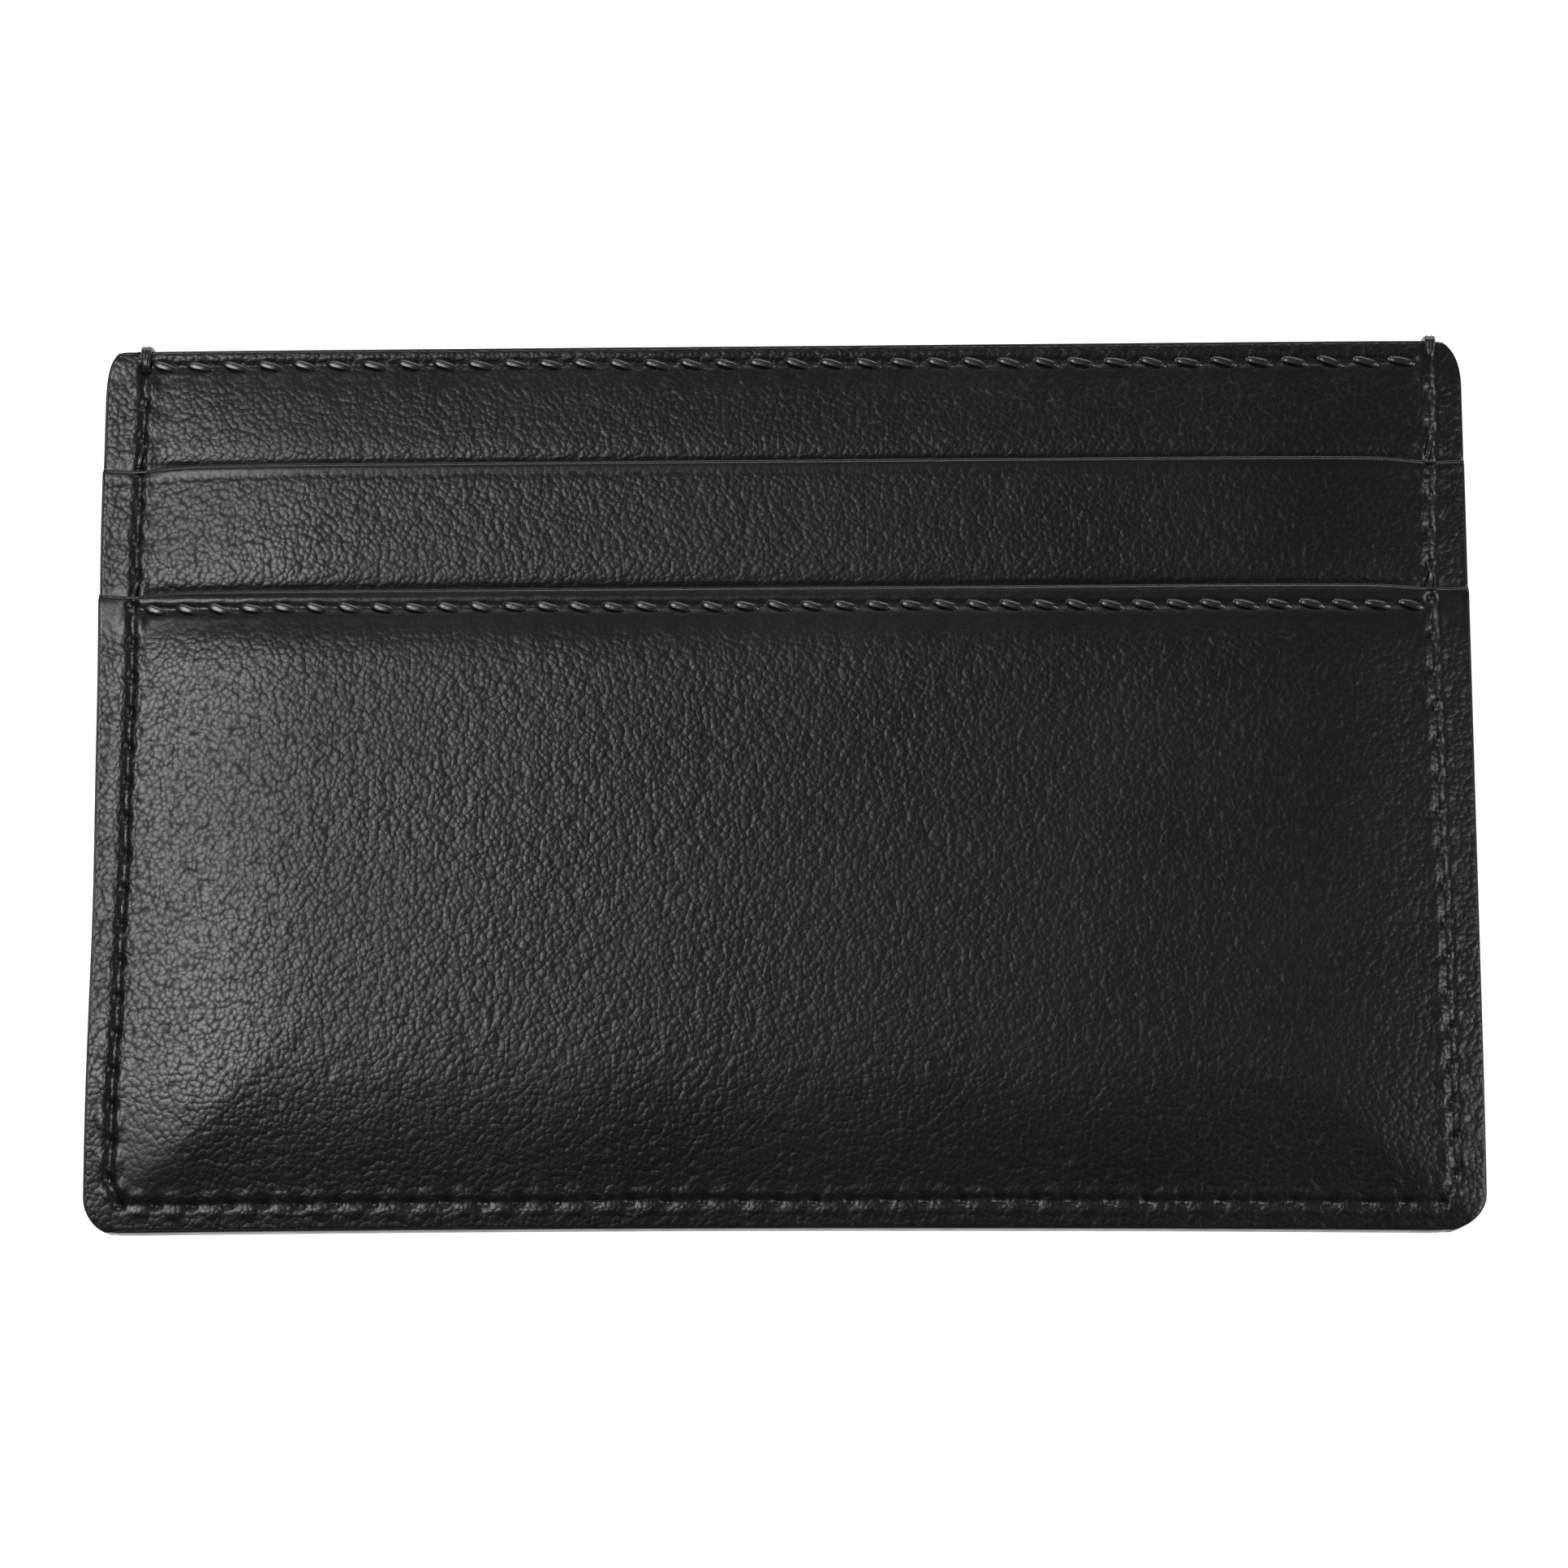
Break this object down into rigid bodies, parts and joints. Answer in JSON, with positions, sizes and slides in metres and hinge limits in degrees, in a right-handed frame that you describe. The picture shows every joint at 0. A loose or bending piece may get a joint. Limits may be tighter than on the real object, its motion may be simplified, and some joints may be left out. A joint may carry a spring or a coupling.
{
  "type": "card holder",
  "caption": "Flat leather card holder with stacked sewn card slots on both faces and an open pocket through the middle.",
  "frame": {"origin": "under the middle of the outline, on the plane of the back face that the holder lies on", "axes": "+X along the width, +Y towards the mouths of the slots, +Z out of the front face"},
  "size_m": [0.1, 0.0658, 0.0055],
  "materials": {
    "leather": "semi-matte fine pebble grain",
    "lining": "matte fine twill",
    "thread": "bonded polyester thread, low sheen",
    "edge": "semi-gloss edge dressing"
  },
  "bodies": {
    "root": {"front_pocket_panel": "leather", "front_pocket_lining": "lining", "front_slot_panel": "leather", "front_body_panel": "leather", "front_body_lining": "lining", "front_top_needle_thread": "thread", "front_top_bobbin_thread": "thread", "front_lip_needle_thread": "thread", "front_lip_bobbin_thread": "thread", "front_foot_needle_thread": "thread", "front_foot_bobbin_thread": "thread", "front_pocket_edge_coat": "edge", "front_slot_edge_coat": "edge", "front_top_edge_coat": "edge", "back_pocket_panel": "leather", "back_pocket_lining": "lining", "back_slot_panel": "leather", "back_body_panel": "leather", "back_body_lining": "lining", "back_top_needle_thread": "thread", "back_top_bobbin_thread": "thread", "back_lip_needle_thread": "thread", "back_lip_bobbin_thread": "thread", "back_foot_needle_thread": "thread", "back_foot_bobbin_thread": "thread", "back_pocket_edge_coat": "edge", "back_slot_edge_coat": "edge", "back_top_edge_coat": "edge", "perimeter_needle_thread": "thread", "perimeter_bobbin_thread": "thread", "perimeter_edge_coat": "edge"}
  },
  "joints": []
}
